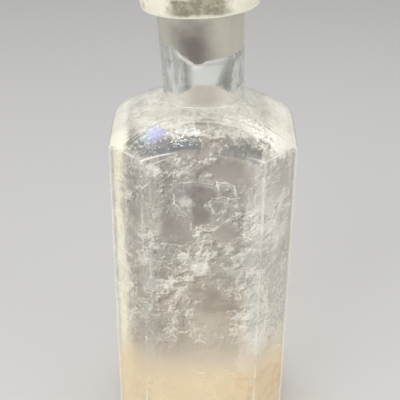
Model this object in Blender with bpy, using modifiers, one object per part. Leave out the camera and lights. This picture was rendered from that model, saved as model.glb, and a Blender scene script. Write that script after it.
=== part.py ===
"""An apothecary bottle of clear blown glass: a square body with broad bevelled corners, a domed
shoulder, a slightly crooked neck with an applied lip, and a ground-glass stopper.

Metres, +Z up. The bottle stands on z = 0 with its front panel towards -Y.
"""
import math

import bmesh
import bpy
from mathutils import Vector

# Blown body
BODY_WIDTH = 0.066
BODY_DEPTH = 0.066
CORNER_LEG = 0.012
EDGE_RADIUS = 0.0016
HEEL_RADIUS = 0.004
SHOULDER_HEIGHT = 0.1295
SHOULDER_RISE = 0.0115
WALL = 0.0033
SHOULDER_WALL = 0.0036
BASE_THICKNESS = 0.0065
INNER_CORNER_LEG = 0.0125
INNER_EDGE_RADIUS = 0.006
INNER_HEEL_RADIUS = 0.005

# Pushed-up middle of the base
PUSH_UP_RADIUS = 0.022
PUSH_UP_DEPTH = 0.0016

# Neck, which leans to one side as hand-finished necks do
NECK_LENGTH = 0.0330
NECK_FOOT_RADIUS = 0.01465
NECK_TOP_RADIUS = 0.0153
NECK_FILLET = 0.0010
NECK_BORE_RADIUS = 0.0093
NECK_INNER_FILLET = 0.005
NECK_LEAN = math.radians(3.0)
BEND_LENGTH = 0.008

# Applied lip
LIP_RADIUS = 0.0208
LIP_HEIGHT = 0.0085
LIP_UPPER_ROUND = 0.0032
LIP_LOWER_ROUND = 0.0014
LIP_CAP = 0.0034
MOUTH_ROUND = 0.0008

# Ground joint: a taper of one in ten on the diameter
MOUTH_RADIUS = 0.0108
GRIND_LENGTH = 0.0265
GRIND_SLOPE = 0.05

# Stopper
PLUG_LENGTH = 0.0230
PLUG_TIP_ROUND = 0.0012
SHANK_LENGTH = 0.0026
SHANK_FILLET = 0.0024
HEAD_RADIUS = 0.0178
HEAD_THICKNESS = 0.0086
HEAD_ROUND = 0.0038
HEAD_CROWN = 0.0012

# Dried residue on the floor
RESIDUE_DEPTH = 0.0022
RESIDUE_DRIFT = 0.0016
RESIDUE_RIPPLE = 0.0003
RESIDUE_WAVE = 0.019

# Gaps between neighbours
LIP_GAP = 0.0003
STOPPER_GAP = 0.0003
RESIDUE_GAP = 0.0003

# Fineness of the round shapes
TURNS = 60
ARC_STEPS = 4
DOME_STEPS = 9
RESIDUE_CELLS = 14
CUTTER_REACH = 0.01
PUSH_UP_OVERRUN = 1.15
MERGE = 0.00001
SHARP_ANGLE = math.radians(28)
BEVEL_TURN = math.radians(45)

# Colours
CLEAR_GLASS = (0.80, 0.79, 0.75, 1.0)
GROUND_GLASS = (0.74, 0.72, 0.68, 1.0)
TAN_CRUST = (0.72, 0.56, 0.36, 1.0)

# Heights that follow from the sizes above
NECK_FOOT_HEIGHT = SHOULDER_HEIGHT + SHOULDER_RISE
LIP_UNDERSIDE = NECK_FOOT_HEIGHT + NECK_LENGTH
LIP_TOP = LIP_UNDERSIDE + LIP_HEIGHT
NECK_END = LIP_TOP - LIP_CAP - LIP_GAP


def corner_reach(width, depth, leg):
    """Distance from the axis to the edges where a bevelled corner meets its panels."""
    return math.hypot(max(width, depth) / 2, min(width, depth) / 2 - leg)


def dome_sphere():
    """Centre height and radius of the shoulder's sphere, from the neck's foot to the body's corners."""
    reach = corner_reach(BODY_WIDTH, BODY_DEPTH, CORNER_LEG)
    drop = (reach ** 2 + SHOULDER_RISE ** 2 - NECK_FOOT_RADIUS ** 2) / (2 * SHOULDER_RISE)
    return NECK_FOOT_HEIGHT - drop, math.hypot(drop, NECK_FOOT_RADIUS)


def arc(centre, radius, start, end, steps=ARC_STEPS):
    """Points (r, z) on an arc, angles in degrees counted from +r towards +z."""
    points = []
    for i in range(steps + 1):
        angle = math.radians(start + (end - start) * i / steps)
        points.append((centre[0] + radius * math.cos(angle), centre[1] + radius * math.sin(angle)))
    return points


def grind_radius(depth_below_mouth):
    """Radius of the ground bore at a depth below the lip's top."""
    return MOUTH_RADIUS - GRIND_SLOPE * depth_below_mouth


def neck_to_dome(neck_radius, fillet, dome_height, dome_radius, reach):
    """Profile from the neck's foot, round a fillet and down the dome, then straight on past the corners."""
    centre_r = neck_radius + fillet
    centre_z = dome_height + math.sqrt((dome_radius + fillet) ** 2 - centre_r ** 2)
    tangent = math.degrees(math.atan2(dome_height - centre_z, -centre_r))
    foot = arc((centre_r, centre_z), fillet, 180, tangent % 360)
    dome_start = math.degrees(math.asin(centre_r / (dome_radius + fillet)))
    dome_end = math.degrees(math.asin(reach / dome_radius))
    dome = arc((0, dome_height), dome_radius, 90 - dome_start, 90 - dome_end, DOME_STEPS)
    slope = math.radians(dome_end)
    beyond = (reach + CUTTER_REACH * math.cos(slope), dome[-1][1] - CUTTER_REACH * math.sin(slope))
    return foot + dome[1:] + [beyond]


def lean(point):
    """Bends a point of the neck sideways, about a short curve at the neck's foot."""
    x, y, z = point
    if z <= NECK_FOOT_HEIGHT:
        return Vector((x, y, z))
    bend_radius = BEND_LENGTH / NECK_LEAN
    along = min(z - NECK_FOOT_HEIGHT, BEND_LENGTH)
    angle = along / bend_radius
    straight = z - NECK_FOOT_HEIGHT - along
    bent_x = (x + bend_radius) * math.cos(angle) - bend_radius - straight * math.sin(angle)
    bent_z = NECK_FOOT_HEIGHT + (x + bend_radius) * math.sin(angle) + straight * math.cos(angle)
    return Vector((bent_x, y, bent_z))


def collection(name):
    group = bpy.data.collections.new(name)
    bpy.context.scene.collection.children.link(group)
    return group


def glass(name, colour, roughness, transmission):
    material = bpy.data.materials.new(name)
    material.use_nodes = True
    surface = material.node_tree.nodes["Principled BSDF"]
    surface.inputs["Base Color"].default_value = colour
    surface.inputs["Roughness"].default_value = roughness
    surface.inputs["Metallic"].default_value = 0.0
    surface.inputs["IOR"].default_value = 1.5
    surface.inputs["Transmission Weight"].default_value = transmission
    material.diffuse_color = colour
    return material


def add_object(name, mesh, group):
    piece = bpy.data.objects.new(name, mesh)
    group.objects.link(piece)
    return piece


def as_cutter(piece):
    piece.hide_render = True
    piece.display_type = "WIRE"
    return piece


def turned(name, profile, group, closed=False):
    """Turns a profile of (r, z) points about Z, listed from the top down its outer side."""
    mesh = bpy.data.meshes.new(name)
    edges = [(i, i + 1) for i in range(len(profile) - 1)]
    if closed:
        edges.append((len(profile) - 1, 0))
    mesh.from_pydata([(r, 0, z) for r, z in profile], edges, [])
    piece = add_object(name, mesh, group)
    screw = piece.modifiers.new("turn", "SCREW")
    screw.steps = TURNS
    screw.render_steps = TURNS
    screw.use_merge_vertices = True
    screw.merge_threshold = MERGE
    return piece


def bevelled_prism(name, group, size, bottom, top, leg, edge_radius, heel_radius):
    """An upright square prism with bevelled corners, softened edges and a rounded heel."""
    width, depth = size
    shape = bmesh.new()
    bmesh.ops.create_cube(shape, size=1.0)
    bmesh.ops.scale(shape, vec=(width, depth, top - bottom), verts=shape.verts)
    bmesh.ops.translate(shape, vec=(0, 0, (top + bottom) / 2), verts=shape.verts)

    def upright(edge):
        a, b = edge.verts
        return abs(a.co.z - b.co.z) > (top - bottom) / 2

    def bevel(edges, width, steps):
        bmesh.ops.bevel(shape, geom=edges, offset=width, offset_type="OFFSET", segments=steps,
                        profile=0.5, affect="EDGES", clamp_overlap=False)

    bevel([edge for edge in shape.edges if upright(edge)], leg, 1)
    heel = [edge for edge in shape.edges if all(abs(v.co.z - bottom) < MERGE for v in edge.verts)]
    bevel(heel, heel_radius, ARC_STEPS)
    softening = edge_radius * math.tan(BEVEL_TURN / 2)
    bevel([edge for edge in shape.edges if upright(edge)], softening, 2)
    mesh = bpy.data.meshes.new(name)
    shape.to_mesh(mesh)
    shape.free()
    return add_object(name, mesh, group)


def cut(piece, cutter, operation):
    """Cuts or trims a piece, and welds the slivers left where both shapes' facets line up."""
    boolean = piece.modifiers.new(cutter.name, "BOOLEAN")
    boolean.operation = operation
    boolean.object = cutter
    boolean.solver = "EXACT"
    weld = piece.modifiers.new("weld", "WELD")
    weld.merge_threshold = MERGE
    return piece


def finished(piece, material, bend=False):
    """Replaces a piece's modifiers by the mesh that they make, bent with the neck if asked."""
    bpy.context.view_layer.update()
    evaluated = piece.evaluated_get(bpy.context.evaluated_depsgraph_get())
    mesh = bpy.data.meshes.new_from_object(evaluated)
    piece.modifiers.clear()
    piece.data = mesh
    if bend:
        for vertex in mesh.vertices:
            vertex.co = lean(vertex.co)
    mesh.shade_smooth()
    mesh.set_sharp_from_angle(angle=SHARP_ANGLE)
    mesh.materials.append(material)
    return piece


def inside_size():
    """Width and depth of the hollow between the walls."""
    return BODY_WIDTH - 2 * WALL, BODY_DEPTH - 2 * WALL


def make_body(parts, cutters, material):
    """The blown shell: a turned dome and neck, trimmed to a bevelled square, with its hollow cut out."""
    dome_height, dome_radius = dome_sphere()
    reach = corner_reach(BODY_WIDTH, BODY_DEPTH, CORNER_LEG)
    shoulder = neck_to_dome(NECK_FOOT_RADIUS, NECK_FILLET, dome_height, dome_radius, reach)
    below = -CUTTER_REACH
    outline = [(0, NECK_END), (NECK_TOP_RADIUS, NECK_END), (NECK_TOP_RADIUS, LIP_UNDERSIDE)]
    outline += shoulder + [(shoulder[-1][0], below), (0, below)]
    body = turned("bottle_body", outline, parts)

    sides = bevelled_prism("body_sides", cutters, (BODY_WIDTH, BODY_DEPTH), 0, NECK_END + CUTTER_REACH,
                           CORNER_LEG, EDGE_RADIUS, HEEL_RADIUS)
    cut(body, as_cutter(sides), "INTERSECT")

    push_radius = (PUSH_UP_RADIUS ** 2 + PUSH_UP_DEPTH ** 2) / (2 * PUSH_UP_DEPTH)
    half_angle = math.degrees(math.asin(PUSH_UP_RADIUS / push_radius))
    crown = arc((0, PUSH_UP_DEPTH - push_radius), push_radius, 90, 90 - half_angle * PUSH_UP_OVERRUN)
    push_up = turned("base_push_up", crown + [(crown[-1][0], below), (0, below)], cutters)
    cut(body, as_cutter(push_up), "DIFFERENCE")

    width, depth = inside_size()
    inner_reach = corner_reach(width, depth, INNER_CORNER_LEG)
    ground_end = LIP_TOP - GRIND_LENGTH
    bore_top = NECK_END + CUTTER_REACH
    bore = [(0, bore_top), (grind_radius(LIP_TOP - bore_top), bore_top),
            (grind_radius(GRIND_LENGTH), ground_end),
            (NECK_BORE_RADIUS, ground_end - grind_radius(GRIND_LENGTH) + NECK_BORE_RADIUS)]
    vault = neck_to_dome(NECK_BORE_RADIUS, NECK_INNER_FILLET, dome_height, dome_radius - SHOULDER_WALL,
                         inner_reach)
    hollow = turned("body_hollow", bore + vault + [(vault[-1][0], below), (0, below)], cutters)
    lining = bevelled_prism("hollow_sides", cutters, (width, depth), BASE_THICKNESS,
                            bore_top + CUTTER_REACH, INNER_CORNER_LEG, INNER_EDGE_RADIUS, INNER_HEEL_RADIUS)
    cut(hollow, as_cutter(lining), "INTERSECT")
    cut(body, as_cutter(hollow), "DIFFERENCE")

    return finished(body, material, bend=True)


def make_lip(parts, material):
    """The applied lip: a thick ring round the neck's end, closed over it and ground out with it."""
    socket = NECK_TOP_RADIUS + LIP_GAP
    seat = LIP_TOP - LIP_CAP
    mouth_edge = (grind_radius(0) + MOUTH_ROUND, LIP_TOP - MOUTH_ROUND)
    upper = (LIP_RADIUS - LIP_UPPER_ROUND, LIP_TOP - LIP_UPPER_ROUND)
    lower = (LIP_RADIUS - LIP_LOWER_ROUND, LIP_UNDERSIDE + LIP_LOWER_ROUND)
    ring = arc(mouth_edge, MOUTH_ROUND, 180, 90, ARC_STEPS // 2)
    ring += arc(upper, LIP_UPPER_ROUND, 90, 0)
    ring += arc(lower, LIP_LOWER_ROUND, 0, -90, ARC_STEPS // 2)
    ring += [(socket, LIP_UNDERSIDE), (socket, seat), (grind_radius(LIP_CAP), seat)]
    return finished(turned("applied_lip", ring, parts, closed=True), material, bend=True)


def make_stopper(parts, material):
    """The stopper, its origin on its own axis at the level of the mouth, ground to the bore's taper."""
    slack = STOPPER_GAP * math.hypot(1, GRIND_SLOPE)

    def plug_radius(height):
        return grind_radius(-height) - slack

    underside = SHANK_LENGTH + SHANK_FILLET
    top = underside + HEAD_THICKNESS
    rim = HEAD_RADIUS - HEAD_ROUND
    crown_radius = (rim ** 2 + HEAD_CROWN ** 2) / (2 * HEAD_CROWN)
    crown_angle = math.degrees(math.asin(rim / crown_radius))
    shank = plug_radius(SHANK_LENGTH)
    tip = plug_radius(-PLUG_LENGTH)
    outline = arc((0, top - crown_radius), crown_radius, 90, 90 - crown_angle, ARC_STEPS // 2)
    upper_rim = top - HEAD_CROWN - HEAD_ROUND
    outline += arc((rim, upper_rim), HEAD_ROUND, 90, 0)[1:]
    outline += arc((rim, underside + HEAD_ROUND), HEAD_ROUND, 0, -90)
    outline += arc((shank + SHANK_FILLET, SHANK_LENGTH), SHANK_FILLET, 90, 180, ARC_STEPS // 2)
    outline += arc((tip - PLUG_TIP_ROUND, PLUG_TIP_ROUND - PLUG_LENGTH), PLUG_TIP_ROUND, 0, -90, ARC_STEPS // 2)
    outline.append((0, -PLUG_LENGTH))
    stopper = finished(turned("stopper", outline, parts), material)
    stopper.location = lean((0, 0, LIP_TOP))
    stopper.rotation_euler = (0, -NECK_LEAN, 0)
    return stopper


def residue_height(x, y):
    """Height of the crust: deeper towards +X, where it dried last, and faintly rippled."""
    across = (x / BODY_WIDTH + 0.5) ** 2
    ripple = math.sin(x / RESIDUE_WAVE * math.tau) * math.cos(y / RESIDUE_WAVE * math.tau)
    return BASE_THICKNESS + RESIDUE_DEPTH + RESIDUE_DRIFT * across + RESIDUE_RIPPLE * ripple


def make_residue(parts, cutters, material):
    """The crust on the floor: the hollow's own outline, a gap inside the glass, under a rippled top."""
    width, depth = inside_size()
    gap = RESIDUE_GAP
    outline = (width - 2 * gap, depth - 2 * gap)
    leg = INNER_CORNER_LEG - gap * (2 - math.sqrt(2))
    residue = bevelled_prism("dried_residue", parts, outline, BASE_THICKNESS + gap,
                             BASE_THICKNESS + RESIDUE_DEPTH + RESIDUE_DRIFT + CUTTER_REACH, leg,
                             INNER_EDGE_RADIUS - gap, INNER_HEEL_RADIUS - gap)

    surface = bmesh.new()
    span = max(BODY_WIDTH, BODY_DEPTH) / 2
    bmesh.ops.create_grid(surface, x_segments=RESIDUE_CELLS, y_segments=RESIDUE_CELLS, size=span)
    for vertex in surface.verts:
        vertex.co.z = residue_height(vertex.co.x, vertex.co.y)
    mesh = bpy.data.meshes.new("residue_top")
    surface.to_mesh(mesh)
    surface.free()
    layer = add_object("residue_top", mesh, cutters)
    thickness = layer.modifiers.new("layer", "SOLIDIFY")
    thickness.thickness = RESIDUE_DEPTH + RESIDUE_DRIFT + CUTTER_REACH
    thickness.offset = -1
    cut(residue, as_cutter(layer), "INTERSECT")
    return finished(residue, material)


def main():
    for old in list(bpy.data.objects):
        bpy.data.objects.remove(old, do_unlink=True)
    parts = collection("apothecary_bottle")
    cutters = collection("cutters")
    clear = glass("clear_glass", CLEAR_GLASS, 0.06, 0.9)
    lip_glass = glass("lip_glass", CLEAR_GLASS, 0.05, 0.9)
    ground = glass("ground_glass", GROUND_GLASS, 0.35, 0.8)
    crust = glass("tan_crust", TAN_CRUST, 0.9, 0.0)
    make_body(parts, cutters, clear)
    make_lip(parts, lip_glass)
    make_stopper(parts, ground)
    make_residue(parts, cutters, crust)


main()
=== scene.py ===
# %% [markdown]
# An old apothecary bottle, dressed for its portrait.
#
# The bottle's solids come ready made, at their real size. This lesson gives them their looks:
# thick, slightly wavy blown glass, the white mineral film that dried inside it, the ground neck,
# the polished stopper and the tan crust on the floor. All lengths are in metres unless a name
# ends in _MM.

import math

import bmesh
import bpy
from mathutils import Matrix, Vector


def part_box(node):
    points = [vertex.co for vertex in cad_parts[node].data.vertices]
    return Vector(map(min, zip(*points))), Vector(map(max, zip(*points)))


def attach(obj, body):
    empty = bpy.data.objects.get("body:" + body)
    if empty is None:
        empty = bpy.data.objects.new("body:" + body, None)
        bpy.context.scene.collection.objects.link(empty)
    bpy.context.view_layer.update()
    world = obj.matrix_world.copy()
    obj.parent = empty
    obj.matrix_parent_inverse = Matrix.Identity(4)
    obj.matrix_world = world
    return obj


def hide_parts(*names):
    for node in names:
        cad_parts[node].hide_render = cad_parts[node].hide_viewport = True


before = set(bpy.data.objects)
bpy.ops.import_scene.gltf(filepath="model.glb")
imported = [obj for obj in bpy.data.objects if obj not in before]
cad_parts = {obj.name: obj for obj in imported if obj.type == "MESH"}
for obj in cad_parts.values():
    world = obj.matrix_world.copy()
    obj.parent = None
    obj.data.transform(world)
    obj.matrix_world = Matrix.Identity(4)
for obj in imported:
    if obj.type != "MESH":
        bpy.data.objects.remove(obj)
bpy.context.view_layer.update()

# %% [markdown]
# Every shape below is worked out from the body's box plus a few driving sizes. The box says how
# wide the body is; heights, walls, rounds and the slope of the ground bore can't be read from a box,
# so they are written here once, with the values the solids have.

# %% Measure the bottle
body_low, body_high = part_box("bottle_body")
HALF_WIDTH = (body_high.x - body_low.x) / 2
WALL = 0.0033
SHOULDER_WALL = 0.0036
BASE_THICKNESS = 0.0065
CORNER_LEG = 0.012
EDGE_RADIUS = 0.0016
HEEL_RADIUS = 0.004
SHOULDER_HEIGHT = 0.1295
SHOULDER_RISE = 0.0115
NECK_LENGTH = 0.0330
NECK_FOOT_RADIUS = 0.01465
NECK_TOP_RADIUS = 0.0153
NECK_FILLET = 0.0010
NECK_LEAN = math.radians(3.0)
BEND_LENGTH = 0.008
LIP_RADIUS = 0.0208
LIP_HEIGHT = 0.0085

NECK_FOOT = SHOULDER_HEIGHT + SHOULDER_RISE
LIP_UNDERSIDE = NECK_FOOT + NECK_LENGTH
LIP_TOP = LIP_UNDERSIDE + LIP_HEIGHT
print(f"body {HALF_WIDTH * 2000:.1f} mm wide, neck foot at {NECK_FOOT * 1000:.1f} mm, "
      f"lip top at {LIP_TOP * 1000:.1f} mm")

# %% [markdown]
# The camera stands where the photographer's did: about 28 cm in front of the bottle, 24 cm above
# the table, looking 28 degrees down. The place and the angles come from fitting the body's edges,
# the arches of the shoulder and the ellipses of neck and lip. The frame cuts off the lip's top and
# the base, as the photograph does.

# %% Set up the camera
CAMERA_PLACE = Vector((0.00021, -0.2751, 0.24188))
CAMERA_DOWN = math.radians(27.60)
CAMERA_YAW = math.radians(-0.253)
CAMERA_ROLL = math.radians(-0.505)
LENS_MM = 72.07
FILM_WIDTH_MM = 36.0


def put_in_scene(name, data):
    """A new object in the scene, with this name and data."""
    made = bpy.data.objects.new(name, data)
    bpy.context.scene.collection.objects.link(made)
    return made


def camera_axes():
    """The camera's right, up and back directions."""
    forward = Vector((math.sin(CAMERA_YAW) * math.cos(CAMERA_DOWN),
                      math.cos(CAMERA_YAW) * math.cos(CAMERA_DOWN),
                      -math.sin(CAMERA_DOWN)))
    level = Vector((math.cos(CAMERA_YAW), -math.sin(CAMERA_YAW), 0))
    down = forward.cross(level)
    right = level * math.cos(CAMERA_ROLL) + down * math.sin(CAMERA_ROLL)
    down = down * math.cos(CAMERA_ROLL) - level * math.sin(CAMERA_ROLL)
    return right, -down, -forward


def make_camera():
    lens = bpy.data.cameras.new("portrait_camera")
    lens.lens = LENS_MM
    lens.sensor_width = FILM_WIDTH_MM
    lens.clip_start, lens.clip_end = 0.01, 50.0
    camera = put_in_scene("portrait_camera", lens)
    camera.matrix_world = Matrix.Translation(CAMERA_PLACE) @ Matrix(camera_axes()).transposed().to_4x4()
    bpy.context.scene.camera = camera
    return camera


camera = make_camera()
bpy.context.scene.view_settings.view_transform = "Standard"
print("camera at", [round(x, 3) for x in camera.matrix_world.translation])

# %% [markdown]
# Node trees are easier to read when a formula reads from left to right. So what comes out of a
# node is wrapped as a wire here, and wires can be added, subtracted, multiplied and divided like
# numbers. The wiring adds a node, fills its inputs with numbers or wires, and hands back a wire.
# It works for materials and for Geometry Nodes alike, because both use the same maths nodes.

# %% A helper for node trees
class Wire:
    """What comes out of a node. It can stand in a formula like a number."""

    def __init__(self, wiring, socket):
        self.wiring, self.socket = wiring, socket

    def __abs__(self):
        return self.wiring.maths("ABSOLUTE", self)

    def __add__(self, other):
        return self.wiring.maths("ADD", self, other)

    def __radd__(self, other):
        return self.wiring.maths("ADD", other, self)

    def __sub__(self, other):
        return self.wiring.maths("SUBTRACT", self, other)

    def __rsub__(self, other):
        return self.wiring.maths("SUBTRACT", other, self)

    def __mul__(self, other):
        return self.wiring.maths("MULTIPLY", self, other)

    def __rmul__(self, other):
        return self.wiring.maths("MULTIPLY", other, self)

    def __truediv__(self, other):
        return self.wiring.maths("DIVIDE", self, other)

    def __rtruediv__(self, other):
        return self.wiring.maths("DIVIDE", other, self)


class Wiring:
    """Adds nodes to a tree and links them."""

    def __init__(self, tree):
        self.tree = tree

    def fill(self, made, inputs):
        """Sets or links inputs of a node, given by name or by number."""
        for name, value in inputs.items():
            if isinstance(value, Wire):
                self.tree.links.new(value.socket, made.inputs[name])
            else:
                made.inputs[name].default_value = value

    def node(self, kind, inputs=None, **settings):
        made = self.tree.nodes.new(kind)
        for name, value in settings.items():
            setattr(made, name, value)
        self.fill(made, inputs or {})
        return made

    def outs(self, kind, inputs=None):
        """Adds a node and hands back all its outputs by name."""
        return {socket.name: Wire(self, socket) for socket in self.node(kind, inputs).outputs}

    def out(self, kind, inputs=None, output=0, **settings):
        """Adds a node and hands back one output."""
        return Wire(self, self.node(kind, inputs, **settings).outputs[output])

    def maths(self, operation, *values, clamp=False):
        return self.out("ShaderNodeMath", dict(enumerate(values)), operation=operation, use_clamp=clamp)

    def larger(self, a, b):
        return self.maths("MAXIMUM", a, b)

    def smaller(self, a, b):
        return self.maths("MINIMUM", a, b)

    def vector(self, operation, *values):
        names = (0, "Scale") if operation == "SCALE" else (0, 1)
        output = "Value" if operation in ("LENGTH", "DOT_PRODUCT") else 0
        return self.out("ShaderNodeVectorMath", dict(zip(names, values)), output, operation=operation)

    def axes(self, value):
        return list(self.outs("ShaderNodeSeparateXYZ", {0: value}).values())

    def point(self, x, y, z):
        return self.out("ShaderNodeCombineXYZ", {0: x, 1: y, 2: z})

    def fade(self, value, start, end, low=0.0, high=1.0):
        """Goes smoothly from low at start to high at end, and stays there."""
        return self.out("ShaderNodeMapRange", {"Value": value, "From Min": start, "From Max": end,
                                               "To Min": low, "To Max": high},
                        interpolation_type="SMOOTHSTEP")


# %% [markdown]
# A bottle seen through its own wall needs light from all round, or it looks black. So the studio
# is a pale floor, a pale surround and one large soft light in front on the left. Three small soft
# lamps hang above and behind the bottle. Each stands where the dome mirrors it to the camera, and
# the crinkled glass breaks its image into white wavelets.

# %% Build the studio
WARM_WHITE = (1.0, 0.995, 0.985)
FLOOR_GREY = 0.66
FLOOR_REACH = 4.0
SURROUND_GREY = 0.74
SURROUND_LIGHT = 0.50
LIGHTS = (
    # name, place, width, height, watts
    ("key_light", (-0.55, -0.70, 0.62), 0.50, 0.50, 5.0),
    ("fill_light", (0.70, -0.55, 0.40), 0.50, 0.50, 2.5),
    ("lamp_left", (-0.381, 0.279, 0.781), 0.14, 0.12, 0.3),
    ("lamp_middle", (-0.137, 0.182, 0.898), 0.12, 0.12, 0.8),
    ("lamp_right", (0.418, 0.325, 0.738), 0.22, 0.12, 0.5),
)
LIGHT_TARGET = Vector((0, 0, 0.11))


def make_light(name, place, width, height, watts):
    light = bpy.data.lights.new(name, "AREA")
    light.shape = "RECTANGLE"
    light.size = width
    light.size_y = height
    light.energy = watts
    lamp = put_in_scene(name, light)
    lamp.location = place
    lamp.rotation_euler = (LIGHT_TARGET - Vector(place)).to_track_quat("-Z", "Y").to_euler()


for settings in LIGHTS:
    make_light(*settings)


def make_surround():
    world = bpy.data.worlds.new("pale_surround")
    bpy.context.scene.world = world
    world.use_nodes = True
    world.node_tree.nodes.clear()
    w = Wiring(world.node_tree)
    path = w.outs("ShaderNodeLightPath")
    seen = w.larger(path["Is Camera Ray"], w.larger(path["Is Glossy Ray"], path["Is Transmission Ray"]))
    strength = seen * (SURROUND_GREY - SURROUND_LIGHT) + SURROUND_LIGHT
    glow = w.out("ShaderNodeBackground", {"Color": (*WARM_WHITE, 1), "Strength": strength})
    w.node("ShaderNodeOutputWorld", {"Surface": glow})


make_surround()


def mesh_from(name, shape):
    """Turns a finished shape into a mesh."""
    mesh = bpy.data.meshes.new(name)
    shape.to_mesh(mesh)
    shape.free()
    return mesh


def make_floor():
    plane = bmesh.new()
    bmesh.ops.create_grid(plane, x_segments=1, y_segments=1, size=FLOOR_REACH)
    floor = put_in_scene("studio_floor", mesh_from("studio_floor", plane))
    paint = bpy.data.materials.new("pale_paper")
    paint.use_nodes = True
    surface = paint.node_tree.nodes["Principled BSDF"].inputs
    surface["Base Color"].default_value = (*(FLOOR_GREY * part for part in WARM_WHITE), 1)
    surface["Roughness"].default_value = 0.85
    floor.data.materials.append(paint)


make_floor()
print(len(LIGHTS), "lights over a floor of grey", FLOOR_GREY)

# %% [markdown]
# The glass itself. A blown bottle is one closed skin: down the outside, under the base, and back
# over the lip down the bore and round the hollow. On a plan view every level of it is either a
# circle, on the neck and dome, or a square with bevelled corners, on the body. Where the dome
# meets a panel, the smaller of the two wins, and the glass flows softly from one to the other.
#
# So the skin needs only two drawings: the outline of the square, outside and inside, and the
# profile of the turned shape. Geometry Nodes put the two together. First, the outline.

# %% Draw the outline of the square
FLAT_STEPS = 26
BEVEL_STEPS = 11
ARC_STEPS = 6


def bevelled_square(half, leg, radius):
    """Points round a square with bevelled corners and softened edges, the same count for any size."""
    corners = []
    for quarter in range(4):
        turn = Matrix.Rotation(quarter * math.pi / 2, 2)
        corners += [turn @ Vector((half, leg - half)), turn @ Vector((half, half - leg))]
    trim = radius * math.tan(math.pi / 8)
    points = []
    for i, start in enumerate(corners):
        end = corners[(i + 1) % len(corners)]
        along = (end - start).normalized()
        steps = FLAT_STEPS if i % 2 == 0 else BEVEL_STEPS
        first, last = start + along * trim, end - along * trim
        points += [first.lerp(last, step / steps) for step in range(steps)]
        outward = Vector((along.y, -along.x))
        centre = last - outward * radius
        points += [centre + Matrix.Rotation(step / ARC_STEPS * math.pi / 4, 2) @ outward * radius
                   for step in range(ARC_STEPS)]
    return points


INNER_HALF = HALF_WIDTH - WALL
INNER_CORNER_LEG = 0.0125
INNER_EDGE_RADIUS = 0.006
outer_line = bevelled_square(HALF_WIDTH, CORNER_LEG, EDGE_RADIUS)
inner_line = bevelled_square(INNER_HALF, INNER_CORNER_LEG, INNER_EDGE_RADIUS)
print(len(outer_line), "points round the body")

# %% [markdown]
# The profile is a list of stations, in the order a finger would follow them: from the middle of
# the base, up the outside, over the lip and down the inside. Each station says how high it is,
# how far the turned shape reaches there, how much the square is drawn in (only at the rounded
# heels), whether it belongs to the outline outside or inside, and how wavy the glass is there.

# %% Draw the profile of the turned shape
WIDE = 0.1
stations = []


def station(turn, height, drawn_in=1.0, lining=0.0, wave=0.0):
    stations.append({"turn": turn, "height": height, "drawn_in": drawn_in, "lining": lining, "wave": wave})


def arc(centre, radius, start, end, steps):
    """Points (r, z) on an arc, angles in degrees counted from +r towards +z."""
    angles = [math.radians(start + (end - start) * i / steps) for i in range(steps + 1)]
    return [(centre[0] + radius * math.cos(a), centre[1] + radius * math.sin(a)) for a in angles]


def between(a, b, steps):
    """Points from a to b, without a itself."""
    return [(a[0] + (b[0] - a[0]) * i / steps, a[1] + (b[1] - a[1]) * i / steps)
            for i in range(1, steps + 1)]


# %% The outside, from the base to the shoulder
PUSH_UP_RADIUS = 0.022
PUSH_UP_DEPTH = 0.0016
HEEL_STEPS = 7
BODY_STEPS = 78
WALL_WAVE = 0.00022
HEEL_WAVE = 0.00005

for step in range(12):
    reach = PUSH_UP_RADIUS * step / 11
    station(reach, PUSH_UP_DEPTH * (1 - (reach / PUSH_UP_RADIUS) ** 2), wave=0)
station(PUSH_UP_RADIUS + 0.0015, 0)
station(WIDE, 0, drawn_in=1 - HEEL_RADIUS / HALF_WIDTH)
for step in range(1, HEEL_STEPS + 1):
    turn = math.pi / 2 * step / HEEL_STEPS
    station(WIDE, HEEL_RADIUS * (1 - math.cos(turn)),
            drawn_in=1 - HEEL_RADIUS * (1 - math.sin(turn)) / HALF_WIDTH, wave=HEEL_WAVE)

# %% The dome and the neck's foot
reach = math.hypot(HALF_WIDTH, HALF_WIDTH - CORNER_LEG)
drop = (reach ** 2 + SHOULDER_RISE ** 2 - NECK_FOOT_RADIUS ** 2) / (2 * SHOULDER_RISE)
DOME_HEIGHT = NECK_FOOT - drop
DOME_RADIUS = math.hypot(drop, NECK_FOOT_RADIUS)
DOME_STEPS = 44
FILLET_STEPS = 7
SOFTNESS = 0.0022
INNER_SOFTNESS = 0.0060


def dome_and_foot(neck_radius, fillet, dome_radius, dome_reach):
    """Points from the dome's rim up to the neck: the dome, then the fillet at the neck's foot."""
    centre_r = neck_radius + fillet
    centre_z = DOME_HEIGHT + math.sqrt((dome_radius + fillet) ** 2 - centre_r ** 2)
    tangent = math.degrees(math.atan2(DOME_HEIGHT - centre_z, -centre_r)) % 360
    rim = math.degrees(math.acos(min(dome_reach / dome_radius, 1)))
    crown = 90 - math.degrees(math.asin(centre_r / (dome_radius + fillet)))
    dome = arc((0, DOME_HEIGHT), dome_radius, rim, crown, DOME_STEPS)
    return dome + arc((centre_r, centre_z), fillet, tangent, 180, FILLET_STEPS)[1:]


outer_dome = dome_and_foot(NECK_FOOT_RADIUS, NECK_FILLET, DOME_RADIUS, reach + SOFTNESS)
body_top = outer_dome[0][1]
for _, height in between((0, HEEL_RADIUS), (0, body_top), BODY_STEPS)[:-1]:
    station(WIDE, height, wave=WALL_WAVE)
for turn, height in outer_dome:
    station(turn, height, wave=WALL_WAVE)
print(f"dome of radius {DOME_RADIUS * 1000:.1f} mm, body sides straight up to {body_top * 1000:.1f} mm")

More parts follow.
